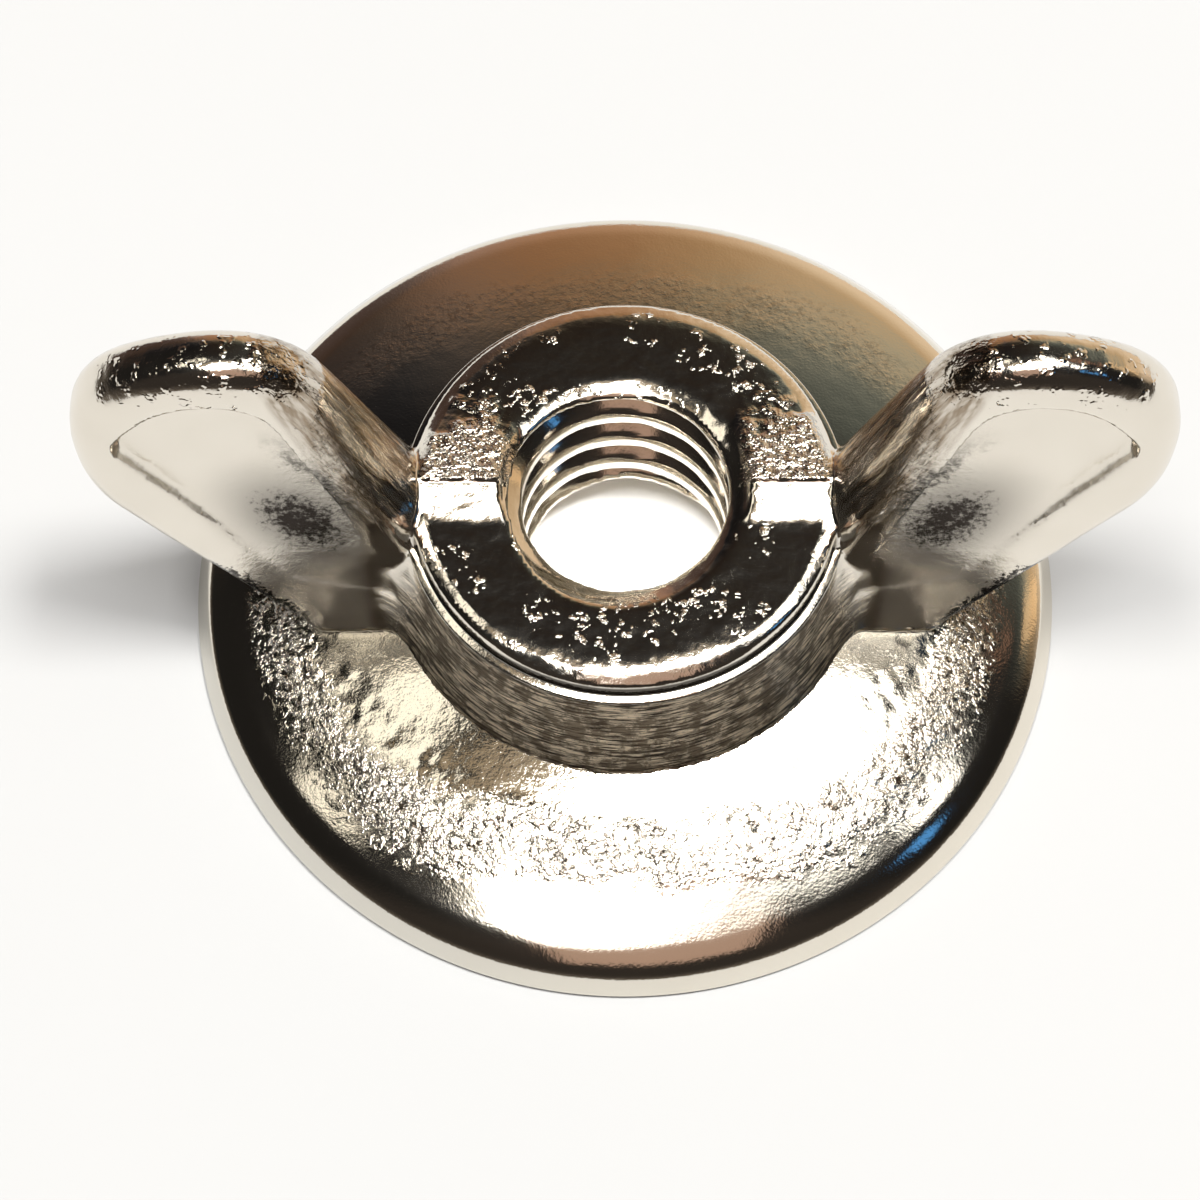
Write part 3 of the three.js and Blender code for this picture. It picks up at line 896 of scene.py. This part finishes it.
def make_world():
    """A dim room: orange-brown low at the back, near black at the sides and overhead."""
    world = bpy.data.worlds.new("room")
    bpy.context.scene.world = world
    world.use_nodes = True
    tree = world.node_tree
    place = tree.nodes.new("ShaderNodeTexCoord")
    split = tree.nodes.new("ShaderNodeSeparateXYZ")
    tree.links.new(place.outputs["Generated"], split.inputs[0])
    back = world_ramp(tree, split.outputs[2], (
        (0.0, (0.41, 0.27, 0.16)),
        (0.16, (0.39, 0.26, 0.15)),
        (0.42, (0.27, 0.165, 0.08)),
        (0.51, (0.207, 0.16, 0.097)),
        (0.578, (0.08, 0.073, 0.052)),
        (0.66, (0.039, 0.037, 0.027)),
        (0.75, (0.018, 0.015, 0.011)),
    ))
    side = world_ramp(tree, split.outputs[2], (
        (0.0, (0.14, 0.12, 0.10)),
        (0.14, (0.05, 0.043, 0.036)),
        (0.30, (0.015, 0.014, 0.013)),
        (1.0, (0.012, 0.011, 0.010)),
    ))
    sideways = world_math(tree, "MULTIPLY_ADD", split.outputs[0], 0.5, 0.5)
    warmth = world_ramp(tree, sideways, (
        (0.29, (0.05, 0.05, 0.075)),
        (0.325, (0.075, 0.08, 0.12)),
        (0.375, (0.21, 0.19, 0.24)),
        (0.435, (0.27, 0.22, 0.22)),
        (0.5, (0.31, 0.27, 0.27)),
        (0.565, (0.40, 0.40, 0.42)),
        (0.625, (0.50, 0.56, 0.66)),
        (0.675, (0.54, 0.62, 0.74)),
    ))
    product = tree.nodes.new("ShaderNodeVectorMath")
    product.operation = "MULTIPLY"
    tree.links.new(back, product.inputs[0])
    tree.links.new(warmth, product.inputs[1])
    back = product.outputs[0]
    scaled = tree.nodes.new("ShaderNodeVectorMath")
    scaled.operation = "SCALE"
    scaled.inputs["Scale"].default_value = 4.0
    tree.links.new(back, scaled.inputs[0])
    back = scaled.outputs[0]
    leaning = world_math(tree, "MULTIPLY_ADD", split.outputs[0], 0.15, 0.0)
    backwards = tree.nodes.new("ShaderNodeMath")
    backwards.operation = "ADD"
    tree.links.new(split.outputs[1], backwards.inputs[0])
    tree.links.new(leaning, backwards.inputs[1])
    towards_back = world_ramp(tree, backwards.outputs[0], ((0.28, (0, 0, 0)), (0.58, (1, 1, 1))))
    forwards = world_math(tree, "MULTIPLY_ADD", split.outputs[1], -1.0, 0.0)
    towards_front = world_ramp(tree, forwards, ((0.32, (0, 0, 0)), (0.5, FRONT_BROWN)))
    mix = tree.nodes.new("ShaderNodeMix")
    mix.data_type = "RGBA"
    tree.links.new(towards_back, mix.inputs[0])
    tree.links.new(side, mix.inputs[6])
    tree.links.new(back, mix.inputs[7])
    add = tree.nodes.new("ShaderNodeMix")
    add.data_type = "RGBA"
    add.blend_type = "ADD"
    add.inputs[0].default_value = 1.0
    tree.links.new(mix.outputs[2], add.inputs[6])
    tree.links.new(towards_front, add.inputs[7])
    tree.links.new(add.outputs[2], tree.nodes["Background"].inputs[0])


def make_camera():
    """Camera at the height and distance fitted for this nut."""
    camera = bpy.data.cameras.new("camera")
    camera.lens = CAMERA_LENS
    camera.sensor_width = 36.0
    camera.shift_x = CAMERA_SHIFT_X
    camera.clip_start = 0.002
    camera.clip_end = 10.0
    holder = bpy.data.objects.new("camera", camera)
    back = np.array([0, -math.cos(CAMERA_ELEVATION), math.sin(CAMERA_ELEVATION)])
    up = np.array([0, math.sin(CAMERA_ELEVATION), math.cos(CAMERA_ELEVATION)])
    holder.location = back * CAMERA_DISTANCE + up * LOOK_OFFSET_UP
    holder.rotation_euler = (math.pi / 2 - CAMERA_ELEVATION, 0, 0)
    bpy.context.scene.collection.objects.link(holder)
    bpy.context.scene.camera = holder


make_camera()
make_world()
make_lights()
make_table()

washer = make_washer()
washer.data.materials.append(washer_material())
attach(washer, "washer")
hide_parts("base_washer")

body = make_nut_body()
body.data.materials.append(body_material())
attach(body, "nut")
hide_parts("nut_body")

bpy.context.scene.view_settings.view_transform = "Standard"
